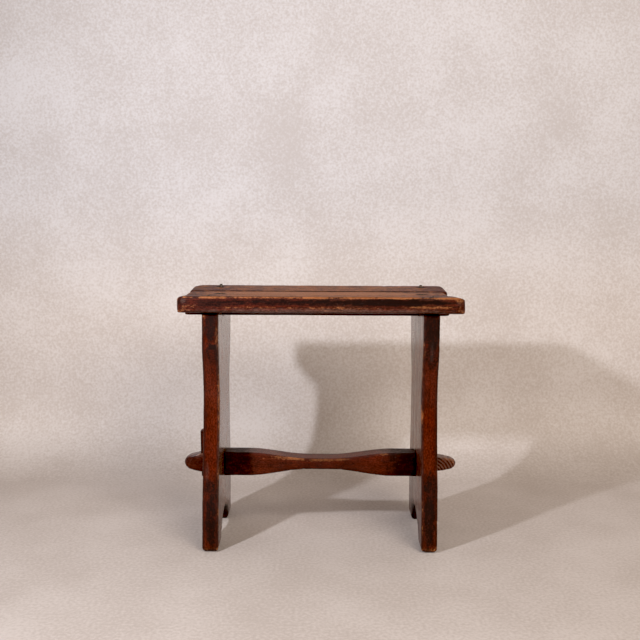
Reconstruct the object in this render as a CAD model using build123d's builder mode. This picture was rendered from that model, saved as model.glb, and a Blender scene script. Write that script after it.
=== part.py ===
from build123d import *
import os
from math import cos, radians, sin, tan

# Slatted stool, in millimetres. X runs along the seat, Y from front to back, Z up.
# The origin is on the floor, under the middle of the seat.
# Three slats are nailed to the tops of two board legs. A stretcher ties the legs:
# its tenons pass through them and are held outside by upright wooden keys.

# Seat: the outer slats tilt towards the middle one, so the seat is slightly dished
seat_height = 450.0
front_slat_reach = 248.25
middle_slat_left_reach = 246.0
middle_slat_right_reach = 232.0
rear_slat_left_reach = 248.0
rear_slat_right_reach = 239.0
slat_width = 78.0
slat_gap = 3.0
slat_tilt_degrees = 3.5
outer_slat_thickness = 29.0
middle_slat_thickness = 37.0
middle_slat_drop = 0.5
front_left_round_length = 13.0
front_right_round_length = 22.0
front_round_height = 8.0
inner_round_length = 7.0
inner_round_height = 4.0
slat_low_end_radius = 5.0
slat_outer_corner = 18.0
rear_left_corner = 32.0
slat_inner_corner = 7.0
slat_top_arris = 3.0
slat_low_arris = 6.5

# Board legs: one plank each, waisted between shoulder and foot, with an arch at the floor
leg_spacing = 353.0
leg_thickness = 29.0
seat_overhang = 11.4
waist_depth = 21.75
shoulder_drop = 70.0
waist_height = 264.0
flare_height = 62.0
foot_length = 44.5
arch_rise = 46.0
foot_corner = 6.0
arch_corner = 3.0
leg_arris = 3.0
housing_clearance = 0.5

# Stretcher: a plank hollowed above and below, with a tenon and a whittled nose at each end
stretcher_axis_height = 131.0
stretcher_height = 43.5
stretcher_thickness = 38.0
stretcher_straight = 42.0
stretcher_waist_length = 44.0
waist_top_drop = 10.75
waist_low_rise = 12.25
stretcher_arris = 2.5
tenon_thickness = 24.0
left_tenon_height = 35.0
right_tenon_height = 27.5
tenon_reach = 46.0
tenon_clearance = 0.1
nose_length = 38.5
nose_blunting = 0.8
nose_corner = 10.0
nose_arris = 2.0

# Keys: flat wedges standing in the tenons, against the outer faces of the legs
key_width = 12.0
key_above_tenon = 43.0
key_below_tenon = 10.0
left_key_top_thickness = 16.5
left_key_low_thickness = 14.0
right_key_top_thickness = 9.5
right_key_low_thickness = 8.0
key_top_corner = 4.0
key_arris = 1.2
key_slot_draw = 1.5
key_clearance = 0.1

# Nails: forged, with a square shank and a faceted head, one through each slat into each leg
nail_head_radius = 4.6
nail_head_middle_radius = 3.7
nail_head_tip_radius = 2.0
nail_head_middle_height = 2.8
nail_head_height = 5.0
nail_head_facets = 7
nail_shank = 3.4
nail_length = 70.0
nail_point_length = 12.0
nail_point_size = 0.6
nail_outer_offset = 15.0
nail_middle_offset = 9.0
nail_outer_shift = 3.0
nail_middle_shift = 6.0
nail_sink = 4.0
nail_clearance = 0.05

# Shape of the S-curves, and how far a cutting shape runs past what it cuts
ogee_pull_share = 1 / 3
overrun = 5.0

# Places that follow from the sizes above
tilt = radians(slat_tilt_degrees)
half_slat = slat_width / 2
leg_inner_x = leg_spacing / 2
leg_outer_x = leg_inner_x + leg_thickness
leg_middle_x = leg_inner_x + leg_thickness / 2
inner_edge_y = half_slat + slat_gap
outer_edge_y = inner_edge_y + slat_width * cos(tilt)
inner_edge_z = seat_height - slat_width * sin(tilt)
middle_top_z = inner_edge_z - middle_slat_drop
middle_low_z = middle_top_z - middle_slat_thickness
housing_half = half_slat + housing_clearance
half_leg = outer_edge_y - seat_overhang
half_waist = half_leg - waist_depth
half_arch = half_leg - foot_length
shoulder_height = seat_height - shoulder_drop
tenon_end_x = leg_outer_x + tenon_reach
key_low_z = stretcher_axis_height - left_tenon_height / 2 - key_below_tenon
key_top_z = stretcher_axis_height + left_tenon_height / 2 + key_above_tenon

LEFT = -1
RIGHT = 1
FRONT = -1
REAR = 1
sides = {"left": LEFT, "right": RIGHT}
tenon_heights = {LEFT: left_tenon_height, RIGHT: right_tenon_height}
key_top_thicknesses = {LEFT: left_key_top_thickness, RIGHT: right_key_top_thickness}
key_low_thicknesses = {LEFT: left_key_low_thickness, RIGHT: right_key_low_thickness}


def seat_plane(side):
    """Plane on the top face of an outer slat, centred on it."""
    centre_y = inner_edge_y + half_slat * cos(tilt)
    centre_z = inner_edge_z + half_slat * sin(tilt)
    return Plane(origin=(0, side * centre_y, centre_z), x_dir=(1, 0, 0),
                 z_dir=(0, -side * sin(tilt), cos(tilt)))


def outer_slat_underside(y):
    """Height of an outer slat's underside at a distance y from the middle of the seat."""
    return inner_edge_z - outer_slat_thickness / cos(tilt) + (y - inner_edge_y) * tan(tilt)


def key_thickness_at(z, side):
    """Thickness of a key at height z."""
    low = key_low_thicknesses[side]
    top = key_top_thicknesses[side]
    return low + (top - low) * (z - key_low_z) / (key_top_z - key_low_z)


def ogee(start, end, along):
    """S-curve from start to end that sets out and arrives in the direction along."""
    run = Vector(end) - Vector(start)
    pull = along * (run.dot(along) * ogee_pull_share)
    return Bezier(start, Vector(start) + pull, Vector(end) - pull, end)


def finish(piece, name):
    """Label a finished piece and write it under its name."""
    piece.part.label = name
    export_step(piece.part, f"parts/{name}.step")


middle_plane = Plane(origin=(0, 0, middle_top_z), x_dir=(1, 0, 0), z_dir=(0, 0, 1))
slat_planes = {"front": seat_plane(FRONT), "middle": middle_plane, "rear": seat_plane(REAR)}

# Ends of each slat, left and then right: reach from the middle of the seat, then length
# and height of the curve that its top is worn to. No two slats were sawn to one length.
slat_ends = {
    "front": ((front_slat_reach, front_left_round_length, front_round_height),
              (front_slat_reach, front_right_round_length, front_round_height)),
    "middle": ((middle_slat_left_reach, inner_round_length, inner_round_height),
               (middle_slat_right_reach, inner_round_length, inner_round_height)),
    "rear": ((rear_slat_left_reach, inner_round_length, inner_round_height),
             (rear_slat_right_reach, inner_round_length, inner_round_height)),
}


# Each slat's nail: distance from the slat's middle line, from the leg's middle, and depth of its head.
# The nails aren't in one line, so that they don't split the legs. Those at the rear stand proud.
nail_settings = {
    "front": (-nail_outer_offset, nail_outer_shift, nail_sink),
    "middle": (-nail_middle_offset, -nail_middle_shift, nail_sink),
    "rear": (nail_outer_offset, nail_outer_shift, 0),
}


def nail_places(slat_name, leg_sides=(LEFT, RIGHT)):
    """Places of a slat's nails, one over each leg."""
    offset, shift, sink = nail_settings[slat_name]
    location = slat_planes[slat_name].location
    return [location * Location((side * (leg_middle_x + shift), offset, -sink)) for side in leg_sides]


def nail_shank_solid(extra, start_height):
    """Square pointed shank, larger all round by extra, from start_height down."""
    shoulder_depth = nail_length - nail_point_length
    with BuildPart() as shank:
        with BuildSketch(Plane.XY.offset(start_height)):
            Rectangle(nail_shank + 2 * extra, nail_shank + 2 * extra)
        extrude(amount=-(shoulder_depth + start_height))
        with BuildSketch(Plane.XY.offset(-shoulder_depth)):
            Rectangle(nail_shank + 2 * extra, nail_shank + 2 * extra)
        with BuildSketch(Plane.XY.offset(-nail_length - extra)):
            Rectangle(nail_point_size + 2 * extra, nail_point_size + 2 * extra)
        loft()
    return shank.part


plain_shank = nail_shank_solid(0, 0)

# The hole for a nail, with the round dent that its head is driven into
with BuildPart() as nail_hole:
    add(nail_shank_solid(nail_clearance, overrun))
    with BuildSketch(Plane.XY):
        Circle(nail_head_radius + nail_clearance)
    extrude(amount=overrun)

with BuildPart() as nail:
    add(plain_shank)
    with BuildSketch(Plane.XY):
        RegularPolygon(nail_head_radius, nail_head_facets)
    with BuildSketch(Plane.XY.offset(nail_head_middle_height)):
        RegularPolygon(nail_head_middle_radius, nail_head_facets)
    with BuildSketch(Plane.XY.offset(nail_head_height)):
        RegularPolygon(nail_head_tip_radius, nail_head_facets)
    loft(ruled=True)


def slat(slat_name, thickness, front_corner, rear_left_radius, rear_right_radius):
    """A slat under its top plane: rounded in plan, at its ends and along its arrises."""
    top_plane = slat_planes[slat_name]
    end_plane = Plane(origin=top_plane.origin, x_dir=top_plane.y_dir, z_dir=top_plane.x_dir)
    side_plane = Plane(origin=top_plane.origin, x_dir=top_plane.x_dir, z_dir=-top_plane.y_dir)
    ends = slat_ends[slat_name]
    left_reach, right_reach = [reach for reach, round_length, round_height in ends]
    with BuildPart() as board:
        # Section across the slat, run along its whole length
        with BuildSketch(end_plane) as section:
            with Locations((0, -thickness / 2)):
                Rectangle(slat_width, thickness)
            fillet(section.vertices().group_by(Axis.Y)[-1], slat_top_arris)
            fillet(section.vertices().group_by(Axis.Y)[0], slat_low_arris)
        extrude(amount=max(left_reach, right_reach), both=True)
        # Plan, with the corners cut round
        with BuildSketch(top_plane) as plan:
            with Locations(((right_reach - left_reach) / 2, 0)):
                Rectangle(left_reach + right_reach, slat_width)
            fillet(plan.vertices().group_by(Axis.Y)[0], front_corner)
            fillet(plan.vertices().group_by(Axis.Y)[-1].sort_by(Axis.X)[0], rear_left_radius)
            fillet(plan.vertices().group_by(Axis.Y)[-1].sort_by(Axis.X)[-1], rear_right_radius)
        extrude(amount=thickness, both=True, mode=Mode.INTERSECT)
        # Side view, with the top of each end worn to a long curve
        with BuildSketch(side_plane):
            with BuildLine():
                for side, (reach, round_length, round_height) in zip((LEFT, RIGHT), ends):
                    Line((0, 0), (side * (reach - round_length), 0))
                    EllipticalCenterArc((side * (reach - round_length), -round_height),
                                        round_length, round_height,
                                        start_angle=0 if side == RIGHT else 90, arc_size=90)
                    heel = Line((side * reach, -round_height),
                                (side * reach, slat_low_end_radius - thickness))
                    toe = RadiusArc(heel @ 1, (side * (reach - slat_low_end_radius), -thickness),
                                    side * slat_low_end_radius)
                    Line(toe @ 1, (0, -thickness))
            make_face()
        extrude(amount=half_slat + overrun, both=True, mode=Mode.INTERSECT)
        # Nail holes
        with Locations(*nail_places(slat_name)):
            add(nail_hole.part, mode=Mode.SUBTRACT)
    return board


def leg(side):
    """A board leg, shaped on its edges, with a mortise and nail holes."""
    upright = Vector(0, 1)
    face_x = leg_outer_x if side == RIGHT else -leg_inner_x
    with BuildPart() as board:
        with BuildSketch(Plane.YZ.offset(face_x - leg_thickness)) as outline:
            with BuildLine():
                Line((half_arch, 0), (half_leg, 0))
                Line((half_leg, 0), (half_leg, flare_height))
                ogee((half_leg, flare_height), (half_waist, waist_height), upright)
                ogee((half_waist, waist_height), (half_leg, shoulder_height), upright)
                Polyline((half_leg, shoulder_height), (half_leg, outer_slat_underside(half_leg)),
                         (housing_half, outer_slat_underside(housing_half)),
                         (housing_half, middle_low_z), (0, middle_low_z))
                mirror(about=Plane.YZ)
                ThreePointArc((-half_arch, 0), (0, arch_rise), (half_arch, 0))
            make_face()
            floor_corners = outline.vertices().group_by(Axis.Y)[0].sort_by(Axis.X)
            fillet([floor_corners[0], floor_corners[-1]], foot_corner)
            arch_corners = outline.vertices().group_by(Axis.Y)[0].sort_by(Axis.X)[1:-1]
            fillet(arch_corners[0:1] + arch_corners[-1:], arch_corner)
        extrude(amount=leg_thickness)
        # Every arris that shows below the seat is worn round
        face_edges = board.faces().filter_by(Axis.X).edges()
        fillet(face_edges.filter_by_position(Axis.Z, 0, middle_low_z - leg_arris), leg_arris)
        # Through mortise for the tenon
        with BuildSketch(Plane.YZ.offset(face_x - leg_thickness - overrun)):
            with Locations((0, stretcher_axis_height)):
                Rectangle(tenon_thickness + 2 * tenon_clearance,
                          tenon_heights[side] + 2 * tenon_clearance)
        extrude(amount=leg_thickness + 2 * overrun, mode=Mode.SUBTRACT)
        # Nail holes in the end grain of the top
        for slat_name in slat_planes:
            with Locations(*nail_places(slat_name, (side,))):
                add(nail_hole.part, mode=Mode.SUBTRACT)
    return board


def key(side):
    """A flat wedge, upright against the outer face of a leg."""
    inner_x = side * leg_outer_x
    top_x = side * (leg_outer_x + key_top_thicknesses[side])
    low_x = side * (leg_outer_x + key_low_thicknesses[side])
    with BuildPart() as wedge:
        with BuildSketch(Plane.XZ) as outline:
            Polygon((inner_x, key_low_z), (low_x, key_low_z),
                    (top_x, key_top_z), (inner_x, key_top_z), align=None)
            top_corners = outline.vertices().group_by(Axis.Y)[-1].sort_by(Axis.X)
            fillet(top_corners[-1 if side == RIGHT else 0], key_top_corner)
        extrude(amount=key_width / 2, both=True)
        # The arrises away from the leg are worn; those against it stay sharp
        outer_reach = sorted((inner_x + side * key_arris, side * tenon_end_x))
        outer_edges = wedge.edges().filter_by_position(Axis.X, *outer_reach)
        fillet(outer_edges.filter_by(Axis.Y, reverse=True), key_arris)
    return wedge


def tenon(side):
    """A through tenon with its nose: a blunted oval from the front, a rounded bar from above."""
    half_tenon = tenon_heights[side] / 2
    nose_start_x = tenon_end_x - nose_length
    slot_inner_x = side * (leg_outer_x - key_slot_draw)
    slot_low_z = stretcher_axis_height - half_tenon - overrun
    slot_top_z = stretcher_axis_height + half_tenon + overrun
    slot_low_x = side * (leg_outer_x + key_thickness_at(slot_low_z, side) + key_clearance)
    slot_top_x = side * (leg_outer_x + key_thickness_at(slot_top_z, side) + key_clearance)
    with BuildPart() as bar:
        with BuildSketch(Plane.XZ):
            with Locations((side * nose_start_x, stretcher_axis_height)):
                Ellipse(nose_length + nose_blunting, half_tenon)
            with Locations((side * (leg_inner_x + nose_start_x) / 2, stretcher_axis_height)):
                Rectangle(nose_start_x - leg_inner_x, 2 * half_tenon)
        extrude(amount=tenon_thickness / 2, both=True)
        with BuildSketch(Plane.XY.offset(stretcher_axis_height)) as plan:
            with Locations((side * (leg_inner_x + tenon_end_x) / 2, 0)):
                Rectangle(tenon_end_x - leg_inner_x, tenon_thickness)
            tip = plan.vertices().group_by(Axis.X)[-1 if side == RIGHT else 0]
            fillet(tip, nose_corner)
        extrude(amount=half_tenon + overrun, both=True, mode=Mode.INTERSECT)
        fillet(bar.faces().filter_by(Axis.Y).edges().filter_by(Axis.Z, reverse=True), nose_arris)
        # Slot for the key; it starts inside the leg, so that the key draws the shoulder up tight
        with BuildSketch(Plane.XZ):
            Polygon((slot_inner_x, slot_low_z), (slot_low_x, slot_low_z),
                    (slot_top_x, slot_top_z), (slot_inner_x, slot_top_z), align=None)
        extrude(amount=key_width / 2 + key_clearance, both=True, mode=Mode.SUBTRACT)
    return bar.part


os.makedirs("parts", exist_ok=True)

# The three slats
front_slat = slat("front", outer_slat_thickness,
                  slat_outer_corner, slat_inner_corner, slat_inner_corner)
middle_slat = slat("middle", middle_slat_thickness,
                   slat_inner_corner, slat_inner_corner, slat_inner_corner)
rear_slat = slat("rear", outer_slat_thickness,
                 slat_inner_corner, rear_left_corner, slat_outer_corner)
finish(front_slat, "front_slat")
finish(middle_slat, "middle_slat")
finish(rear_slat, "rear_slat")

# The legs and their keys
for side_name, side in sides.items():
    finish(leg(side), f"{side_name}_leg")
    finish(key(side), f"{side_name}_key")

# The stretcher
half_height = stretcher_height / 2
top_z = stretcher_axis_height + half_height
low_z = stretcher_axis_height - half_height
waist_start_x = leg_inner_x - stretcher_straight
waist_flat_x = stretcher_waist_length / 2
lengthwise = Vector(1, 0)
tenons = [tenon(side) for side in sides.values()]
with BuildPart() as stretcher:
    with BuildSketch(Plane.XZ):
        with BuildLine():
            Line((0, top_z - waist_top_drop), (waist_flat_x, top_z - waist_top_drop))
            ogee((waist_flat_x, top_z - waist_top_drop), (waist_start_x, top_z), lengthwise)
            Polyline((waist_start_x, top_z), (leg_inner_x, top_z),
                     (leg_inner_x, low_z), (waist_start_x, low_z))
            ogee((waist_start_x, low_z), (waist_flat_x, low_z + waist_low_rise), -lengthwise)
            Line((waist_flat_x, low_z + waist_low_rise), (0, low_z + waist_low_rise))
            mirror(about=Plane.YZ)
        make_face()
    extrude(amount=stretcher_thickness / 2, both=True)
    long_arrises = stretcher.faces().filter_by(Axis.Y).edges().filter_by(Axis.Z, reverse=True)
    fillet(long_arrises, stretcher_arris)
    for tenon_part in tenons:
        add(tenon_part)
finish(stretcher, "stretcher")

# The nails, one group for each slat
for slat_name in slat_planes:
    with BuildPart() as nails:
        with Locations(*nail_places(slat_name)):
            add(nail.part)
    finish(nails, f"{slat_name}_slat_nails")
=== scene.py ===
"""Looks of the slatted stool, in metres: boards with hand wear, old oak finish, studio and camera."""
from math import cos, pi, radians, sin
from typing import NamedTuple

import bmesh
import bpy
import numpy as np
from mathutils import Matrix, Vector, kdtree, noise


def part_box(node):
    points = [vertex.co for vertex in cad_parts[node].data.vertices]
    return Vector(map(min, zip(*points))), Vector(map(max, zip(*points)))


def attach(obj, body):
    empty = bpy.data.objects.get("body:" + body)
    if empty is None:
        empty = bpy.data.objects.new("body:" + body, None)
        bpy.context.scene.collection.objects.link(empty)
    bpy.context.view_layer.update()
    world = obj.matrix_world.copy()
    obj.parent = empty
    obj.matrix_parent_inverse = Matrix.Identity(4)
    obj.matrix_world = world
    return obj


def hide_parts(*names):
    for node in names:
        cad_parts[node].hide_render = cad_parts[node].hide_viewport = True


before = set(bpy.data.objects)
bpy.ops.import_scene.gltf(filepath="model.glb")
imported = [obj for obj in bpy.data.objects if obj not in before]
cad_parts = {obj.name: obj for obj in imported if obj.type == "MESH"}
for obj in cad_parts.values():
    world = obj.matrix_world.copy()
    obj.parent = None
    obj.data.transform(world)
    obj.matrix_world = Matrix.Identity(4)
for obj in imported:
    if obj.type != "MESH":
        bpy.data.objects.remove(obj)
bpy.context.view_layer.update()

MM = 0.001
BOTH_ENDS = (-1, 1)


class Value:
    """A socket of a material. Arithmetic on it adds Math nodes."""

    def __init__(self, tree, socket=None):
        self.tree = tree
        self.socket = socket

    def node(self, kind, settings=None, *places, output=0, **sockets):
        """Add a node: first its settings, then values or links for its sockets, in order or by name."""
        made = self.tree.nodes.new("ShaderNode" + kind)
        for name, setting in (settings or {}).items():
            setattr(made, name, setting)
        open_sockets = [s for s in made.inputs if s.enabled]
        wanted = list(zip(open_sockets, places))
        for name, value in sockets.items():
            wanted.append((next(s for s in open_sockets if s.name == name.replace("_", " ")), value))
        for socket, value in wanted:
            if isinstance(value, Value):
                self.tree.links.new(value.socket, socket)
            else:
                socket.default_value = value
        return Value(self.tree, made.outputs[output] if made.outputs else None)

    def maths(self, operation, *values):
        return self.node("Math", {"operation": operation}, *values)

    def __add__(self, other):
        return self.maths("ADD", self, other)

    def __radd__(self, other):
        return self.maths("ADD", other, self)

    def __sub__(self, other):
        return self.maths("SUBTRACT", self, other)

    def __rsub__(self, other):
        return self.maths("SUBTRACT", other, self)

    def __mul__(self, other):
        return self.maths("MULTIPLY", self, other)

    def __rmul__(self, other):
        return self.maths("MULTIPLY", other, self)

    def __truediv__(self, other):
        return self.maths("DIVIDE", self, other)

    def root(self):
        return self.maths("SQRT", self)

    def fraction(self):
        return self.maths("FRACT", self)

    def parts(self):
        """The X, Y and Z of a vector."""
        split = self.node("SeparateXYZ", None, self).socket.node
        return [Value(self.tree, socket) for socket in split.outputs]

    def rise(self, low, high):
        """0 below low, 1 above high, and a soft step between."""
        limits = {"interpolation_type": "SMOOTHSTEP"}
        return self.node("MapRange", limits, self, low, high, 0.0, 1.0)

    def mix(self, low, high, kind="MIX"):
        """Colour low where this is 0, high where it is 1."""
        return self.node("Mix", {"data_type": "RGBA", "blend_type": kind}, self, low, high,
                         output="Result")


def colour(red, green, blue):
    return (red, green, blue, 1.0)


def new_material(name):
    """A material with an empty node tree, and the place from which its nodes are added."""
    material = bpy.data.materials.new(name)
    material.use_nodes = True
    material.node_tree.nodes.clear()
    return material, Value(material.node_tree)


def new_object(name, data):
    """An object in the scene around a mesh, a camera or a light."""
    made = bpy.data.objects.new(name, data)
    bpy.context.scene.collection.objects.link(made)
    return made


# Camera: a 50 mm lens, a little above the seat, looking slightly down. Its axis meets the
# optical row of the picture, and the black level deepens the picture's shadows.
PICTURE_SIDE = 640
OPTICAL_ROW = 266.0
LENS = 50
SENSOR = 36
CAMERA_PLACE = (-0.0026, -1.627, 0.593)
CAMERA_PITCH = radians(3.44)
CAMERA_ROLL = radians(-0.30)
BLACK_LEVEL = 0.0138


def make_camera():
    """The camera of the photograph."""
    data = bpy.data.cameras.new("camera")
    data.lens = LENS
    data.sensor_width = SENSOR
    data.shift_y = (OPTICAL_ROW - PICTURE_SIDE / 2) / PICTURE_SIDE
    camera = new_object("camera", data)
    camera.location = CAMERA_PLACE
    camera.rotation_euler = (pi / 2 - CAMERA_PITCH, CAMERA_ROLL, 0)
    bpy.context.scene.camera = camera


def set_picture():
    """Plain picture colours, with the shadows a little deepened."""
    settings = bpy.context.scene.view_settings
    settings.view_transform = "Standard"
    settings.use_curve_mapping = True
    settings.curve_mapping.black_level = (BLACK_LEVEL, BLACK_LEVEL, BLACK_LEVEL)


# Studio cloth: its run from the floor up the wall in one sweep
SWEEP_FRONT = -2.0
SWEEP_WALL = 0.47
SWEEP_RADIUS = 0.19
SWEEP_TOP = 3.0
SWEEP_HALF_WIDTH = 3.0
SWEEP_STEPS = 24

# Its marks, broad clouds under fine brushing: share, scale, and where dark turns to light
CLOUD_SHARE, CLOUD_SCALE = 0.4, 6.0
BRUSHED_SHARE, BRUSHED_SCALE = 0.6, 190.0
CLOTH_DETAIL = 5.0
CLOTH_TONES = (0.34, 0.66)

# Colour of its dark and light marks: high on the wall, low on it, and on the floor, as painted light
# and shade
HIGH_DARK, HIGH_LIGHT = colour(0.590, 0.563, 0.566), colour(0.722, 0.718, 0.750)
LOW_DARK, LOW_LIGHT = colour(0.653, 0.596, 0.562), colour(0.798, 0.760, 0.747)
FLOOR_DARK, FLOOR_LIGHT = colour(0.357, 0.314, 0.286), colour(0.451, 0.404, 0.373)
HIGH_RISE = (0.30, 0.70)
FLOOR_RISE = (-0.03, 0.10)
FLOOR_SHARE = 0.8
CLOTH_ROUGHNESS = 0.9


def pale_cloth():
    """Painted cloth, warmer low down and darker on the floor as painted light and shade, and seen only
    from the stool's side.
    """
    material, shade = new_material("pale_cloth")
    place = shade.node("TexCoord", output="Object")
    clouds = shade.node("TexNoise", None, Vector=place, Scale=CLOUD_SCALE, Detail=CLOTH_DETAIL)
    brushed = shade.node("TexNoise", None, Vector=place, Scale=BRUSHED_SCALE, Detail=CLOTH_DETAIL)
    tone = (clouds * CLOUD_SHARE + brushed * BRUSHED_SHARE).rise(*CLOTH_TONES)
    height = place.parts()[2]
    # painted light: the cloth's tones change with height, cooler high up, warmer and lighter low down
    low = 1 - height.rise(*HIGH_RISE)
    paint = tone.mix(low.mix(HIGH_DARK, LOW_DARK), low.mix(HIGH_LIGHT, LOW_LIGHT))
    # painted shade: the floor part of the cloth made darker
    floor_shade = (1 - height.rise(*FLOOR_RISE)) * FLOOR_SHARE
    paint = floor_shade.mix(paint, tone.mix(FLOOR_DARK, FLOOR_LIGHT))
    cloth = shade.node("BsdfPrincipled", None, Base_Color=paint, Roughness=CLOTH_ROUGHNESS)
    behind = shade.node("NewGeometry", output="Backfacing")
    seen = shade.node("MixShader", None, behind, cloth, shade.node("BsdfTransparent"))
    shade.node("OutputMaterial", None, Surface=seen)
    return material


def make_stage():
    """Floor and wall in one swept cloth."""
    profile = [(SWEEP_FRONT, 0.0)]
    for step in range(SWEEP_STEPS + 1):
        turn = pi / 2 * step / SWEEP_STEPS
        profile.append((SWEEP_WALL - SWEEP_RADIUS + SWEEP_RADIUS * sin(turn),
                        SWEEP_RADIUS - SWEEP_RADIUS * cos(turn)))
    profile.append((SWEEP_WALL, SWEEP_TOP))
    points = [(end * SWEEP_HALF_WIDTH, y, z) for y, z in profile for end in BOTH_ENDS]
    faces = [(2 * n, 2 * n + 1, 2 * n + 3, 2 * n + 2) for n in range(len(profile) - 1)]
    mesh = bpy.data.meshes.new("studio_sweep")
    mesh.from_pydata(points, [], faces)
    mesh.shade_smooth()
    mesh.materials.append(pale_cloth())
    sweep = new_object("studio_sweep", mesh)


# Lights: a small cool one near the stool at its left front, which throws the sharp shadows,
# and a broad warm one at its right front
MAIN_LIGHT = {"place": (-0.72, -0.85, 0.90), "target": (1.00, 0.47, 0.40),
              "size": 0.07, "power": 13.4, "tint": (0.88, 0.88, 0.93)}
FILL_LIGHT = {"place": (0.95, -1.8, 1.7), "target": (0.22, 0.47, 0.75),
              "size": 1.4, "power": 36.5, "tint": (1.0, 0.89, 0.79)}

# Room: warm all round, and dark behind the camera
ROOM_DARK = colour(0.03, 0.025, 0.021)
ROOM_WARM = colour(0.45, 0.38, 0.32)
ROOM_RISE = (-0.97, -0.45)


def make_light(name, place, target, size, power, tint):
    """A round area light at place, aimed at target."""
    data = bpy.data.lights.new(name, "AREA")
    data.shape = "DISK"
    data.size = size
    data.energy = power
    data.color = tint
    light = new_object(name, data)
    light.location = place
    light.rotation_euler = (Vector(target) - Vector(place)).to_track_quat("-Z", "Y").to_euler()


def make_room():
    """The light that comes from all round."""
    world = bpy.data.worlds.new("room")
    world.use_nodes = True
    world.node_tree.nodes.clear()
    room = Value(world.node_tree)
    towards_y = room.node("TexCoord", output="Generated").parts()[1]
    tone = towards_y.rise(*ROOM_RISE).mix(ROOM_DARK, ROOM_WARM)
    room.node("OutputWorld", None, room.node("Background", None, tone, 1.0))
    bpy.context.scene.world = world


# Worked meshes: length of their edges, the gap that a weld closes, how near its tip or top a
# nail's end points lie, and how near its axis the walls of a nail's hole lie
BOARD_STEP = 2.2 * MM
NAIL_STEP = 0.5 * MM
WELD_GAP = 0.002 * MM
NAIL_END = 0.3 * MM
NAIL_HOLE_REACH = 5.2 * MM

# How far apart in the noise one seed and the next lie, along X, Y and Z
SEED_STEPS = (1.7, -2.3, 3.1)


def read(items, what, width=3, kind=float):
    """A row of numbers for each corner or edge of a mesh, such as its place or its normal."""
    values = np.empty(len(items) * width, kind)
    items.foreach_get(what, values)
    return values.reshape(-1, width)


def write(mesh, places):
    """Move the corners of a mesh to these places."""
    mesh.vertices.foreach_set("co", places.ravel())
    mesh.update()


def nail_axes(node):
    """Tip and top of the left nail and of the right nail in a node."""
    points = read(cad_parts[node].data.vertices, "co")
    axes = []
    for end in BOTH_ENDS:
        own = points[points[:, 0] * end > 0]
        heights = own[:, 2]
        tip = own[heights < heights.min() + NAIL_END].mean(axis=0)
        top = own[heights > heights.max() - NAIL_END].mean(axis=0)
        axes.append((tip, top))
    return axes


def plugged_copy(node, nails):
    """A CAD node's mesh, welded, with its nail holes closed."""
    work = bmesh.new()
    work.from_mesh(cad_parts[node].data)
    bmesh.ops.remove_doubles(work, verts=work.verts, dist=WELD_GAP)
    for tip, top in nails:
        origin = Vector(tip)
        way = (Vector(top) - origin).normalized()
        near = {v for v in work.verts if (v.co - origin).cross(way).length < NAIL_HOLE_REACH}
        walls = [f for f in work.faces if near.issuperset(f.verts)]
        bmesh.ops.delete(work, geom=walls, context="FACES")
    rims = [e for e in work.edges if e.is_boundary]
    bmesh.ops.holes_fill(work, edges=rims, sides=0)
    mesh = bpy.data.meshes.new(node + "_plugged")
    work.to_mesh(mesh)
    work.free()
    return mesh


def even_mesh(name, surface_mesh, step):
    """A surface as an even mesh of small faces, lying on it."""
    surface = new_object(name + "_surface", surface_mesh)
    piece = new_object(name, surface_mesh.copy())
    remesh = piece.modifiers.new("remesh", "REMESH")
    remesh.mode = "VOXEL"
    remesh.voxel_size = step
    wrap = piece.modifiers.new("wrap", "SHRINKWRAP")
    wrap.target = surface
    wrap.wrap_method = "NEAREST_SURFACEPOINT"
    graph = bpy.context.evaluated_depsgraph_get()
    mesh = bpy.data.meshes.new_from_object(piece.evaluated_get(graph))
    piece.modifiers.clear()
    piece.data = mesh
    bpy.data.objects.remove(surface)
    mesh.shade_smooth()
    return piece


def smoothed(places, edges, rounds):
    """Places averaged with their neighbours, rounds times."""
    counts = np.bincount(edges.ravel(), minlength=len(places))[:, None]
    for _ in range(rounds):
        total = np.zeros_like(places)
        np.add.at(total, edges[:, 0], places[edges[:, 1]])
        np.add.at(total, edges[:, 1], places[edges[:, 0]])
        places = total / counts
    return places


def rough(places, size, seed):
    """Smooth noise from -1 to 1 at each place, with lumps of about this size."""
    shift = Vector([seed * step for step in SEED_STEPS])
    return np.array([noise.noise(Vector(p) / size + shift) for p in places])


def soft_step(values, low, high):
    """0 below low, 1 above high, and a soft step between."""
    share = np.clip((values - low) / (high - low), 0, 1)
    return share * share * (3 - 2 * share)


# Noses of the stretcher: how far beyond the leg the knife began, how deep it cut, the slope of
# each ring of cuts, the number of cuts round a ring, and how far they wander from even places
NOSE_CUT_START = 6 * MM
NOSE_CUT_DEPTH = 0.7 * MM
NOSE_CUT_SLOPES = (radians(12), radians(36), radians(62))
NOSE_CUTS_AROUND = 8
KNIFE_WANDER = 0.3

# Feet and nails: how far wear has rounded the feet, and how deep and wide the hammer dented the wood
FOOT_ROUND = 9.5 * MM
NAIL_DENT = 1.3 * MM
NAIL_DENT_REACH = (3.6 * MM, 7.0 * MM)

# Arrises: found by how far rounds of smoothing pull a place in. Up to the flat pull it is on a
# face, and a sharp pull more makes a full arris. Distances are taken from the clear arrises,
# and the finish leaves out those that look down, by the Z of their normal.
ARRIS_ROUNDS = 8
FLAT_PULL = 0.15 * MM
SHARP_PULL = 1.0 * MM
CLEAR_ARRIS = 0.45
LOOKING_DOWN = (-0.6, -0.1)

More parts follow.
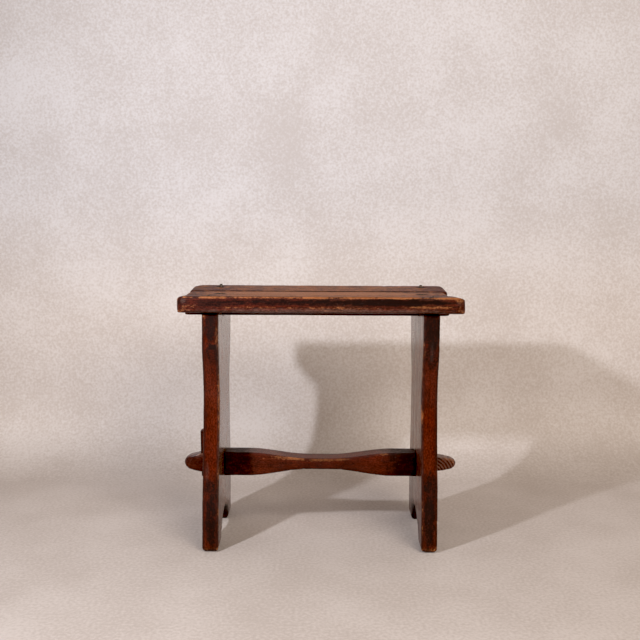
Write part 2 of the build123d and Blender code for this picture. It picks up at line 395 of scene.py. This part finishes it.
# Hand work and age: size of the waves, the rubbed stretches and the nicks, what sets their
# seeds apart, how strong they are, and how far each goes into wood and into iron
WAVE_SIZE = 70 * MM
RUB_SIZE, RUB_SEED = 45 * MM, 5
RUB_MEAN, RUB_SWING, RUB_MOST = 0.45, 1.1, 1.3
NICK_SIZE, NICK_SEED = 7 * MM, 9
NICK_START, NICK_GAIN = 0.30, 2.2
BOARD_WEAR = {"hollow": 0.3 * MM, "rub": 0.4 * MM, "nick": 0.9 * MM}
NAIL_WEAR = {"hollow": 0.25 * MM, "rub": 0.15 * MM, "nick": 0.3 * MM}


def pare_noses(mesh):
    """Whittle the noses of the stretcher: flat cuts in rings round the X axis."""
    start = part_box("right_leg")[1].x + NOSE_CUT_START
    places = read(mesh.vertices, "co")
    for end in BOTH_ENDS:
        own = places[:, 0] * end > start
        cut = places[own]
        for ring, slope in enumerate(NOSE_CUT_SLOPES):
            for number in range(NOSE_CUTS_AROUND):
                place = number + 0.5 * (ring % 2) + KNIFE_WANDER * noise.noise((number, ring, end))
                turn = 2 * pi * place / NOSE_CUTS_AROUND
                way = np.array((end * sin(slope), cos(slope) * cos(turn), cos(slope) * sin(turn)))
                reach = cut @ way
                beyond = np.clip(reach - (reach.max() - NOSE_CUT_DEPTH), 0, None)
                cut = cut - way * beyond[:, None]
        places[own] = cut
    write(mesh, places)


def round_feet(mesh):
    """Wear the long arrises under a leg's feet round, about lines along Y."""
    places = read(mesh.vertices, "co")
    middle = (places[:, 0].min() + places[:, 0].max()) / 2
    reach = (places[:, 0].max() - places[:, 0].min()) / 2 - FOOT_ROUND
    aside = places[:, 0] - middle
    out = np.abs(aside) - reach
    down = FOOT_ROUND - places[:, 2]
    away = np.hypot(out, down)
    past = (out > 0) & (down > 0) & (away > FOOT_ROUND)
    share = FOOT_ROUND / away[past]
    places[past, 0] = middle + np.sign(aside[past]) * (reach + out[past] * share)
    places[past, 2] = FOOT_ROUND - down[past] * share
    write(mesh, places)


def dent(mesh, nails):
    """Press the wood down round each nail, where the hammer met it."""
    places = read(mesh.vertices, "co")
    for tip, top in nails:
        away = np.linalg.norm(places - top, axis=1)
        places[:, 2] -= NAIL_DENT * (1 - soft_step(away, *NAIL_DENT_REACH))
    write(mesh, places)


def add_mark(mesh, name, values):
    """Keep one number for each corner of the mesh, for its material."""
    mark = mesh.attributes.new(name, "FLOAT", "POINT")
    mark.data.foreach_set("value", values.astype(np.float32))


def wear(piece, node, seed, hollow, rub, nick):
    """Hand work and age: faces a little uneven, arrises rubbed and nicked, always into the piece."""
    mesh = piece.data
    places = read(mesh.vertices, "co")
    normals = read(mesh.vertices, "normal")
    edges = read(mesh.edges, "vertices", 2, int)
    pull = ((places - smoothed(places, edges, ARRIS_ROUNDS)) * normals).sum(axis=1)
    arris = np.clip((pull - FLAT_PULL) / SHARP_PULL, 0, 1)
    waves = 0.5 + 0.5 * rough(places, WAVE_SIZE, seed)
    rubbed = np.clip(RUB_MEAN + RUB_SWING * rough(places, RUB_SIZE, seed + RUB_SEED), 0, RUB_MOST)
    nicks = np.clip(rough(places, NICK_SIZE, seed + NICK_SEED) - NICK_START, 0, 1) * NICK_GAIN
    depth = hollow * waves + arris * (rub * rubbed + nick * nicks)
    places = places - normals * depth[:, None]
    low, high = (np.array(corner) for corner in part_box(node))
    write(mesh, np.clip(places, low, high))
    add_mark(mesh, "arris", arris * soft_step(normals[:, 2], *LOOKING_DOWN))
    return places, arris


def from_arris(places, arris):
    """Distance of each place from the nearest arris, in millimetres."""
    clear = np.flatnonzero(arris > CLEAR_ARRIS)
    tree = kdtree.KDTree(len(clear))
    for number in clear:
        tree.insert(places[number], int(number))
    tree.balance()
    return np.array([tree.find(place)[2] for place in places]) / MM


# Spots of each piece, in millimetres: middle, half sizes and strength. They fade between these
# shares of their half sizes, and their edges are ragged in large and small lumps: how far in
# the same shares, the size of the lumps, and what sets their seeds apart.
SPOT_FADE = (0.45, 1.20)
LARGE_RAG, LARGE_RAG_SIZE, LARGE_RAG_SEED = 0.28, 9 * MM, 3
SMALL_RAG, SMALL_RAG_SIZE, SMALL_RAG_SEED = 0.12, 3.5 * MM, 4

# Dark grime and painted shade, and round each nail the half sizes and strength of its stain
NAIL_STAIN = ((14, 13, 9), 1.3)
DIRT_AND_SHADE = {
    "front_slat": [
        ((122, -119, 440), (119, 9, 7.0), 1.25),
        ((10, -119, 440), (100, 9, 6.5), 0.92),
        ((-80, -119, 440), (110, 9, 6.2), 0.85),
        ((-175, -119, 438), (50, 9, 9), 0.62),
        ((-243, -119, 440), (12, 9, 9), 0.6),
        # painted dark reflection of the legs in the front slat's lower arris, here and on the next line
        ((-190, -117, 424), (26, 6, 7), 0.5),
        ((190, -117, 424), (26, 6, 7), 0.6),
        # painted shadow along the underside of the front slat
        ((0, -114, 420), (300, 9, 3.0), 0.6),
        # painted shade on the front slat's top behind its rim, a dark line between the slats
        ((0, -111, 450), (300, 7, 4), 0.95),
    ],
    "middle_slat": [
        # painted shade along the gaps between the slats, on both arrises
        ((0, -39, 443), (270, 4, 9), 1.0),
        ((0, 39, 443), (270, 4, 9), 1.0),
    ],
    "rear_slat": [
        # painted shade along the gap in front of the rear slat
        ((0, 43, 446), (270, 4, 9), 0.95),
        ((40, 119, 439), (170, 9, 5), 0.9),
        ((-150, 119, 439), (60, 9, 6), 0.6),
    ],
    "left_leg": [
        # darker at the leg's top, under the seat: grime and painted shade
        ((-191, -108, 400), (12, 14, 48), 0.85),
        ((-187, -107, 361), (9, 14, 6), 1.0),
        ((-190, -106, 342), (18, 14, 26), 0.6),
        ((-188, -106, 112), (18, 14, 30), 0.7),
        ((-190, -106, 58), (12, 14, 66), 0.95),
        # darker at the leg's rear top, under the seat: grime and painted shade
        ((-190, 108, 392), (8, 14, 34), 0.9),
        ((-191, 106, 50), (8, 14, 36), 0.8),
        # painted shade inside the arch between the feet
        ((-190, 0, 16), (30, 98, 38), 1.2),
        # grime and painted shade round the joint with the stretcher, on both faces
        ((-176, 0, 131), (6, 26, 34), 0.8),
        ((-206, 0, 131), (6, 24, 34), 0.8),
    ],
    "right_leg": [
        # darker at the leg's top, under the seat: grime and painted shade
        ((192, -108, 392), (17, 14, 50), 1.05),
        ((191, -107, 338), (16, 14, 34), 0.75),
        ((191, -106, 118), (16, 14, 32), 0.7),
        ((191, -106, 60), (12, 14, 70), 0.98),
        # darker at the leg's rear top, under the seat: grime and painted shade
        ((191, 108, 394), (8, 14, 32), 0.9),
        ((190, 106, 48), (8, 14, 40), 0.8),
        # painted shade inside the arch between the feet
        ((190, 0, 20), (30, 98, 44), 1.2),
        # grime and painted shade round the joint with the stretcher, on both faces
        ((176, 0, 131), (6, 26, 34), 0.8),
        ((206, 0, 131), (6, 24, 30), 0.8),
    ],
    "stretcher": [
        # darker towards both legs: grime and painted shade at the joints
        ((-160, 0, 131), (48, 60, 60), 0.84),
        ((158, 0, 131), (50, 60, 60), 0.90),
        ((-226, 0, 128), (24, 22, 16), 0.35),
        ((0, -18, 128), (150, 9, 20), 0.42),
        # grime and painted shade where the stretcher passes through the legs
        ((-208, 0, 131), (9, 20, 30), 0.9),
        ((208, 0, 131), (9, 20, 30), 0.8),
    ],
    # grime and painted shade where each key meets its leg and tenon
    "left_key": [((-206, 0, 131), (9, 12, 26), 0.8)],
    "right_key": [((206, 0, 131), (9, 12, 26), 0.8)],
}

# Wood rubbed through to raw wood, and painted reflection of the wall on the legs' inner faces
WORN_AND_REFLECTION = {
    "front_slat": [
        ((184, -119, 432.8), (66, 6, 3.0), 1.05),
        ((20, -119, 430.5), (120, 6, 3.0), 0.75),
        ((-120, -119, 431), (90, 6, 3.0), 0.7),
        ((-222, -119, 433), (24, 8, 6), 0.55),
        ((238, -119, 443), (12, 8, 6), 0.6),
        ((0, -119, 448.5), (265, 5, 3.4), 0.85),
        ((0, -74, 449), (280, 46, 6), 1.3),
    ],
    "middle_slat": [((0, 0, 445), (300, 70, 10), 1.35)],
    "rear_slat": [
        ((0, 80, 448), (300, 70, 12), 0.92),
        ((-20, 119, 448), (220, 5, 2.5), 0.6),
    ],
    "left_leg": [
        ((-179.5, -108, 381), (6.5, 12, 22), 0.78),
        ((-201, -108, 400), (4, 10, 22), 0.7),
        ((-190, -108, 6), (18, 14, 5), 0.7),
        # painted reflection of the wall: the whole inner face lightened
        ((-176.5, 0, 300), (4, 150, 400), 0.9),
    ],
    "right_leg": [
        ((179.5, -108, 352), (4, 12, 8), 0.5),
        ((179, -108, 60), (3.0, 8, 62), 0.55),
        ((203, -108, 60), (3.0, 8, 60), 0.4),
        ((190, -108, 6), (18, 14, 5), 0.8),
        # painted reflection of the wall: the whole inner face lightened
        ((176.5, 0, 300), (4, 150, 400), 0.6),
    ],
    "stretcher": [
        ((0, 2, 150), (230, 12, 15), 0.5),
        ((-76, -18, 141), (48, 4, 4.2), 0.62),
        ((-4, -18, 137.5), (38, 4, 3.8), 0.57),
        ((44, -18, 139.5), (30, 4, 3.2), 0.54),
        ((130, -18, 150), (24, 4, 2.2), 0.4),
        ((228, 0, 131), (20, 22, 18), 0.25),
    ],
    "left_key": [((-214, 0, 188), (8, 8, 8), 0.8)],
    "right_key": [((212, 0, 188), (6, 8, 8), 0.8)],
}

# Varnish dulled and paled with scuffs, and painted sheen, reflections and glints
SCUFFS_AND_SHEEN = {
    "front_slat": [
        # painted reflection of the floor in the front slat's lower arris
        ((0, -116, 424.8), (290, 9, 6.2), 0.85),
        # painted glints at the front slat's left end
        ((-236, -119, 442), (5, 9, 4), 0.7),
        ((238, -119, 439), (9, 9, 7), 0.3),
    ],
    "middle_slat": [((0, 0, 446), (300, 70, 12), 0.12)],
    "rear_slat": [((0, 80, 446), (300, 70, 12), 0.12)],
    "left_leg": [
        # painted highlight and a scuff on the left leg's front
        ((-197, -108, 142), (3.2, 14, 22), 0.55),
        # painted reflection of the wall on the leg's inner face
        ((-176.5, 0, 300), (4, 150, 400), 0.8),
    ],
    "right_leg": [
        # painted sheen high on the right leg's front
        ((192, -108, 350), (3, 14, 20), 0.25),
        # painted reflection of the wall on the leg's inner face
        ((176.5, 0, 300), (4, 150, 400), 0.35),
    ],
    "stretcher": [
        # painted sheen on the tops of both noses
        ((-226, 0, 147), (24, 20, 7), 0.6),
        ((226, 0, 143), (24, 20, 4), 0.4),
    ],
    "left_key": [((-213, -6, 172), (3, 3, 10), 0.3)],
    "right_key": [],
}


def patches(places, spots, seed):
    """The strength of the strongest spot at each place, and 0 outside all of them."""
    ragged = (LARGE_RAG * rough(places, LARGE_RAG_SIZE, seed + LARGE_RAG_SEED)
              + SMALL_RAG * rough(places, SMALL_RAG_SIZE, seed + SMALL_RAG_SEED))
    mark = np.zeros(len(places))
    for middle, half_sizes, strength in spots:
        away = (places / MM - np.array(middle)) / np.array(half_sizes)
        reach = np.sqrt((away * away).sum(axis=1)) + ragged
        mark = np.maximum(mark, strength * (1 - soft_step(reach, *SPOT_FADE)))
    return mark


# Tones of the oak's finish, from the blackest grime and painted shade to raw wood rubbed through
# and painted reflection, and then of its scratches, scuffs and painted sheen, and of the noses' rings
# blackest tone: soot in the pores, grime, and painted shade
SOOT_AND_SHADE = colour(0.011, 0.0065, 0.0060)
DARK_STAIN = colour(0.030, 0.0085, 0.0060)
RED_STAIN = colour(0.155, 0.019, 0.0060)
BROWN_STAIN = colour(0.130, 0.037, 0.016)
GRIT_SHADE = colour(0.30, 0.27, 0.25)
AMBER_DARK = colour(0.23, 0.072, 0.021)
AMBER = colour(0.44, 0.180, 0.072)
# haze of scratches and scuffs, also the colour of painted sheen and reflections
HAZE_AND_SHEEN = colour(0.20, 0.145, 0.125)
PALE = colour(0.34, 0.20, 0.15)

# How far each layer of the finish hides the wood under it
PORE_COVER = 0.75
GRIT_COVER = 0.75
BARE_AND_REFLECTION_COVER = 0.75
ARC_COVER = 0.42
DIRT_AND_SHADE_COVER = 0.93
SCRATCH_COVER = 0.30
SCUFF_AND_SHEEN_COVER = 0.45

# Rings: their width along the boards and on the noses, how far they sway, how ragged they are,
# the height of the tenons' heart above the feet, and where the noses' rings begin to show
RING_WIDTH = 3.4 * MM
NOSE_RING_WIDTH = 5.5 * MM
RING_SWAY = 22 * MM
RING_RAG = 0.9
TENON_HEART = 112 * MM
NOSE_RING_START = (6 * MM, 14 * MM)

# Bands along the arrises, in millimetres: where the dark stain and the rubbed margin fade out,
# and how ragged they are
EDGE_STAIN, EDGE_STAIN_RAG = (0.5, 4.0), 6
RUBBED_MARGIN, RUBBED_MARGIN_RAG = (0.4, 5.5), 14

# Noises drawn out along the grain: length, width and detail
SWAY = (260 * MM, 70 * MM, 1.0)
BROKEN_RINGS = (70 * MM, 18 * MM, 2.0)
FIBRES = (55 * MM, 1.7 * MM, 3.0)
BANDS = (240 * MM, 7.0 * MM, 2.0)
PORES = (11 * MM, 0.6 * MM, 1.0)
MOTTLE = (14 * MM, 6.0 * MM, 3.0)
GRIT = (4.0 * MM, 1.6 * MM, 2.0)
SCRATCHES = (6 * MM, 1.6 * MM, 0.0)

# Noises alike in every direction: size and detail
CLOUDS = (95 * MM, 3.0)
PATCHES = (24 * MM, 4.0)
SPECKS = (3.2 * MM, 3.0)
TOUCHES = (42 * MM, 2.0)
SWELLS = (16 * MM, 2.0)

# Varnish, and relief of the oak under it
VARNISH_ROUGHNESS = 0.16
VARNISH_IOR = 1.3
OAK_RELIEF = 0.35 * MM
OAK_RELIEF_STRENGTH = 0.55


class Board(NamedTuple):
    """How a board was cut from the log and finished."""
    slot: str
    grain: str          # axis along which the grain runs
    pith: tuple         # place of the log's heart, across and through the board
    brownness: float    # share of brown in the red stain
    rubbing: float      # how far hands and feet rubbed its arrises
    polish: float       # how much gloss its varnish has kept
    figure: float       # how strongly rings, pores and fibres show
    edging: float       # how dark the stain is along its edges


BOARDS = {
    "front_slat": Board("seat_wood", "X", pith=(-0.050, 0.375), brownness=0.9,
                        rubbing=0.8, polish=0.2, figure=0.8, edging=0.0),
    "middle_slat": Board("seat_wood", "X", pith=(0.015, 0.350), brownness=1.0,
                         rubbing=0.3, polish=0.0, figure=0.8, edging=0.4),
    "rear_slat": Board("seat_wood", "X", pith=(0.110, 0.360), brownness=1.0,
                       rubbing=0.3, polish=0.0, figure=0.8, edging=0.4),
    "left_leg": Board("leg_wood", "Z", pith=(-0.020, -0.260), brownness=0.25,
                      rubbing=0.25, polish=0.8, figure=0.35, edging=0.8),
    "right_leg": Board("leg_wood", "Z", pith=(0.035, 0.270), brownness=0.25,
                       rubbing=0.35, polish=0.8, figure=0.35, edging=0.7),
    "stretcher": Board("stretcher_wood", "X", pith=(0.012, 0.095), brownness=0.3,
                       rubbing=0.4, polish=0.6, figure=0.4, edging=0.3),
    "left_key": Board("key_wood", "Z", pith=(0.030, -0.190), brownness=0.5,
                      rubbing=0.15, polish=0.6, figure=0.5, edging=0.8),
    "right_key": Board("key_wood", "Z", pith=(-0.020, 0.190), brownness=0.5,
                       rubbing=0.15, polish=0.6, figure=0.5, edging=0.8),
}


class Oak:
    """The wood of one board: the noises and growth marks that its finish is made from."""

    def __init__(self, shade, seed, board):
        self.shade = shade
        self.seed = seed
        self.place = shade.node("TexCoord", output="Object")
        x, y, z = self.place.parts()
        self.run, self.across, self.through = (x, y, z) if board.grain == "X" else (z, y, x)
        self.fibre = self.streaks(*FIBRES)
        self.band = self.streaks(*BANDS)
        self.mottle = self.streaks(*MOTTLE)
        self.grit = self.streaks(*GRIT)
        self.patchy = self.lumps(*PATCHES)
        self.fine = self.lumps(*SPECKS)
        self.late = self.late_wood(*board.pith)
        self.pores = self.streaks(*PORES).rise(0.55, 0.66) * (1 - self.late * 0.8)

    def streaks(self, length, width, detail):
        """Noise drawn out along the grain, in marks of about this length and width."""
        drawn = self.shade.node("CombineXYZ", None, self.run / length + self.seed,
                                self.across / width, self.through / width)
        return self.shade.node("TexNoise", None, Vector=drawn, Scale=1.0, Detail=detail)

    def lumps(self, size, detail):
        """Noise alike in every direction, in lumps of about this size."""
        return self.shade.node("TexNoise", None, Vector=self.place, Scale=1 / size, Detail=detail)

    def late_wood(self, heart_across, heart_through):
        """The dense later part of each ring, about a heart outside the board."""
        sway = (self.streaks(*SWAY) - 0.5) * RING_SWAY
        aside = self.across - heart_across + sway
        below = self.through - heart_through
        rings = (aside * aside + below * below).root() / RING_WIDTH
        saw = (rings + self.streaks(*BROKEN_RINGS) * RING_RAG).fraction()
        return saw.rise(0.10, 0.70) * (1 - saw.rise(0.90, 1.0))

    def mark(self, name):
        """A number kept for each corner of the mesh."""
        return self.shade.node("Attribute", {"attribute_name": name}, output="Fac")


def stained_wood(oak, board):
    """Oak under its stain: clouds of red and brown, dark pores and grit, and dark edges."""
    cloud = oak.lumps(*CLOUDS)
    drawn = oak.fibre * 0.45 + oak.late * 0.13
    spotted = oak.mottle * 0.55 + oak.fine * 0.25
    tone = (drawn * board.figure + spotted * (1 - board.figure)
            + oak.band * 0.30 + cloud * 0.35 + oak.patchy * 0.35)
    stain = cloud.rise(0.35, 0.65) * board.brownness
    wood = tone.rise(0.48, 1.15).mix(DARK_STAIN, stain.mix(RED_STAIN, BROWN_STAIN))
    wood = (oak.pores * (PORE_COVER * board.figure)).mix(wood, SOOT_AND_SHADE)
    wood = ((1 - oak.grit.rise(0.40, 0.60)) * GRIT_COVER).mix(wood, GRIT_SHADE, "MULTIPLY")
    edge = 1 - (oak.mark("inland") + (oak.patchy - 0.5) * EDGE_STAIN_RAG).rise(*EDGE_STAIN)
    return (edge * board.edging).mix(wood, DARK_STAIN)


def rubbed_and_reflecting_wood(oak, board, wood):
    """Wood rubbed through on arrises and in spots as hands and feet caught it, lightened as painted
    reflection on the legs' inner faces, and where that is.
    """
    caught = oak.lumps(*TOUCHES).rise(0.42, 0.60)
    held = oak.patchy * 0.25 + oak.mottle * 0.25 + oak.fine * 0.2 + oak.grit * 0.3 - 0.5
    margin = 1 - (oak.mark("inland") + held * RUBBED_MARGIN_RAG).rise(*RUBBED_MARGIN)
    touched = oak.mark("arris") * (0.2 + caught * 0.75) + margin * caught * 0.35
    worn_and_reflection = (touched * board.rubbing + oak.mark("worn_and_reflection") * 0.75 + held * 3.0).rise(0.40, 1.00)
    # raw wood colour, also the painted reflection on the legs' inner faces
    bare_and_reflection = (oak.grit * 0.6 + oak.fibre * 0.6).rise(0.40, 0.8).mix(AMBER_DARK, AMBER)
    return (worn_and_reflection * BARE_AND_REFLECTION_COVER).mix(wood, bare_and_reflection), worn_and_reflection


def ringed_noses(oak, wood):
    """Noses of the tenons, cut across the rings, which show as arcs, paler at the right end."""
    leg_low, leg_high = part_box("right_leg")
    outward = oak.shade.maths("ABSOLUTE", oak.run) - leg_high.x
    rise = oak.through - leg_low.z - TENON_HEART
    rings = (outward * outward + rise * rise).root() / NOSE_RING_WIDTH
    arcs = (rings + oak.fine * 0.5).fraction()
    strokes = arcs.rise(0.20, 0.60) * (1 - arcs.rise(0.70, 1.0)) * outward.rise(*NOSE_RING_START)
    right_end = oak.run.rise(0.0, 0.1)
    return (strokes * (oak.fine + right_end - 0.5) * ARC_COVER).mix(wood, PALE)


def soiled_and_shaded_wood(oak, board, wood):
    """Wood under grime and painted shade in the joints, gaps and dents, scratches, scuffs and painted
    sheen, and where the grime and shade are.
    """
    broken = oak.mottle * 0.35 + oak.fine * 0.3 + oak.grit * 0.35 - 0.5
    # grime and painted shade from the spots
    spread = oak.mark("dirt_and_shade") + oak.mark("dirt_and_shade").rise(0.05, 0.5) * broken * 4.5
    dirt_and_shade = spread.rise(0.20, 1.00) * DIRT_AND_SHADE_COVER
    wood = dirt_and_shade.mix(wood, SOOT_AND_SHADE)
    scratched = oak.streaks(*SCRATCHES).rise(0.74, 0.84) * oak.patchy.rise(0.46, 0.60)
    wood = (scratched * SCRATCH_COVER * board.figure).mix(wood, HAZE_AND_SHEEN)
    # scuffs and painted sheen from the spots
    dull_and_sheen = oak.mark("scuffs_and_sheen") * (0.35 + (oak.grit * 0.6 + oak.fibre * 0.4).rise(0.40, 0.60) * 0.65)
    return (dull_and_sheen * SCUFF_AND_SHEEN_COVER).mix(wood, HAZE_AND_SHEEN), dirt_and_shade


def old_oak(name, seed, board):
    """Stained oak under old varnish: rings, pores and fibres in the wood, grime and wear on it, and
    painted shade, sheen and reflections.
    """
    material, shade = new_material(name)
    oak = Oak(shade, seed, board)
    wood = stained_wood(oak, board)
    wood, worn_and_reflection = rubbed_and_reflecting_wood(oak, board, wood)
    if board.slot == "stretcher_wood":
        wood = ringed_noses(oak, wood)
    wood, dirt_and_shade = soiled_and_shaded_wood(oak, board, wood)

    streaky = (oak.fibre - 0.5) * 0.30 * board.figure
    gloss = 0.62 - board.polish * 0.22 + streaky + dirt_and_shade * 0.28 + worn_and_reflection * 0.05
    left = (oak.fibre * 0.7 + oak.band * 0.6).rise(0.30, 0.85)
    varnish = board.polish * (1 - dirt_and_shade * 0.40 - worn_and_reflection * 0.75) * left
    varnish = shade.maths("MINIMUM", varnish + oak.mark("scuffs_and_sheen") * 0.8, 1.0)
    height = oak.fibre * 0.45 - oak.pores * 0.7 + oak.lumps(*SWELLS) * 1.6 + oak.late * 0.15
    bump = shade.node("Bump", None, Strength=OAK_RELIEF_STRENGTH, Distance=OAK_RELIEF, Height=height)
    surface = shade.node("BsdfPrincipled", None, Base_Color=wood, Roughness=gloss, IOR=VARNISH_IOR,
                         Coat_Weight=varnish, Coat_Roughness=VARNISH_ROUGHNESS, Coat_IOR=VARNISH_IOR,
                         Normal=bump)
    shade.node("OutputMaterial", None, Surface=surface)
    return material


# Nail iron: scale and detail of its noises, its tones, and its relief
IRON_PATCH_SCALE, IRON_PATCH_DETAIL = 420.0, 4.0
IRON_GRAIN_SCALE, IRON_GRAIN_DETAIL = 1500.0, 3.0
BLACKENED = colour(0.055, 0.048, 0.042)
RUSTY = colour(0.090, 0.055, 0.034)
# light crests: rubbed iron and painted glints
BRIGHT = colour(0.62, 0.57, 0.50)
IRON_METALLIC = 0.75
IRON_RELIEF = 0.15 * MM
IRON_RELIEF_STRENGTH = 0.6


def forged_iron():
    """Hand-forged nail iron, blackened, with a little brown in it, and crests lightened as rubbed iron
    and as painted glints.
    """
    material, shade = new_material("forged_iron")
    place = shade.node("TexCoord", output="Object")
    patchy = shade.node("TexNoise", None, Vector=place, Scale=IRON_PATCH_SCALE,
                        Detail=IRON_PATCH_DETAIL)
    fine = shade.node("TexNoise", None, Vector=place, Scale=IRON_GRAIN_SCALE,
                      Detail=IRON_GRAIN_DETAIL)
    crest = shade.node("Attribute", {"attribute_name": "arris"}, output="Fac")
    iron = patchy.rise(0.40, 0.64).mix(BLACKENED, RUSTY)
    # crests lightened as rubbed iron and as painted glints
    iron = (crest * 0.8 + patchy * 0.6).rise(0.50, 0.95).mix(iron, BRIGHT)
    bump = shade.node("Bump", None, Strength=IRON_RELIEF_STRENGTH, Distance=IRON_RELIEF,
                      Height=patchy + fine * 0.4)
    surface = shade.node("BsdfPrincipled", None, Base_Color=iron, Metallic=IRON_METALLIC,
                         Roughness=0.20 + fine * 0.30, Normal=bump)
    shade.node("OutputMaterial", None, Surface=surface)
    return material


# Boards are seeded from 0, nails from 30, and a board's kinds of spots 20 apart. From board to
# board the noises along the grain move on by the grain step.
NAIL_NODES = ("front_slat_nails", "middle_slat_nails", "rear_slat_nails")
FIRST_NAIL_SEED = 30
SPOT_SEED_STEP = 20
GRAIN_STEP = 3.7


def dress(piece, node, material):
    """Put a piece in the place of its node."""
    piece.data.materials.clear()
    piece.data.materials.append(material)
    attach(piece, "root")
    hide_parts(node)


def make_boards(nails):
    """Each wooden piece, with its wear, its finish and its painted shade, sheen and reflections."""
    stains = [(Vector(top) / MM, *NAIL_STAIN) for tip, top in nails]
    for seed, (node, board) in enumerate(BOARDS.items()):
        piece = even_mesh(node + "_worn", plugged_copy(node, nails), BOARD_STEP)
        mesh = piece.data
        # the spots: grime and painted shade, wear and painted reflection, scuffs and painted sheen
        spots = {"dirt_and_shade": DIRT_AND_SHADE[node], "worn_and_reflection": WORN_AND_REFLECTION[node], "scuffs_and_sheen": SCUFFS_AND_SHEEN[node]}
        if board.slot == "stretcher_wood":
            pare_noses(mesh)
        if board.slot == "leg_wood":
            round_feet(mesh)
        if board.slot == "seat_wood":
            dent(mesh, nails)
            spots["dirt_and_shade"] = DIRT_AND_SHADE[node] + stains
        places, arris = wear(piece, node, seed, **BOARD_WEAR)
        add_mark(mesh, "inland", from_arris(places, arris))
        for number, (kind, own) in enumerate(spots.items()):
            add_mark(mesh, kind, patches(places, own, seed + number * SPOT_SEED_STEP))
        dress(piece, node, old_oak(node + "_oak", seed * GRAIN_STEP, board))


def make_nails():
    """The nails, with heads that no two blows left alike."""
    iron = forged_iron()
    for seed, node in enumerate(NAIL_NODES, start=FIRST_NAIL_SEED):
        piece = even_mesh(node + "_forged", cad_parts[node].data.copy(), NAIL_STEP)
        wear(piece, node, seed, **NAIL_WEAR)
        dress(piece, node, iron)


make_camera()
set_picture()
make_stage()
make_light("main_light", **MAIN_LIGHT)
make_light("fill_light", **FILL_LIGHT)
make_room()
make_boards([axis for node in NAIL_NODES for axis in nail_axes(node)])
make_nails()
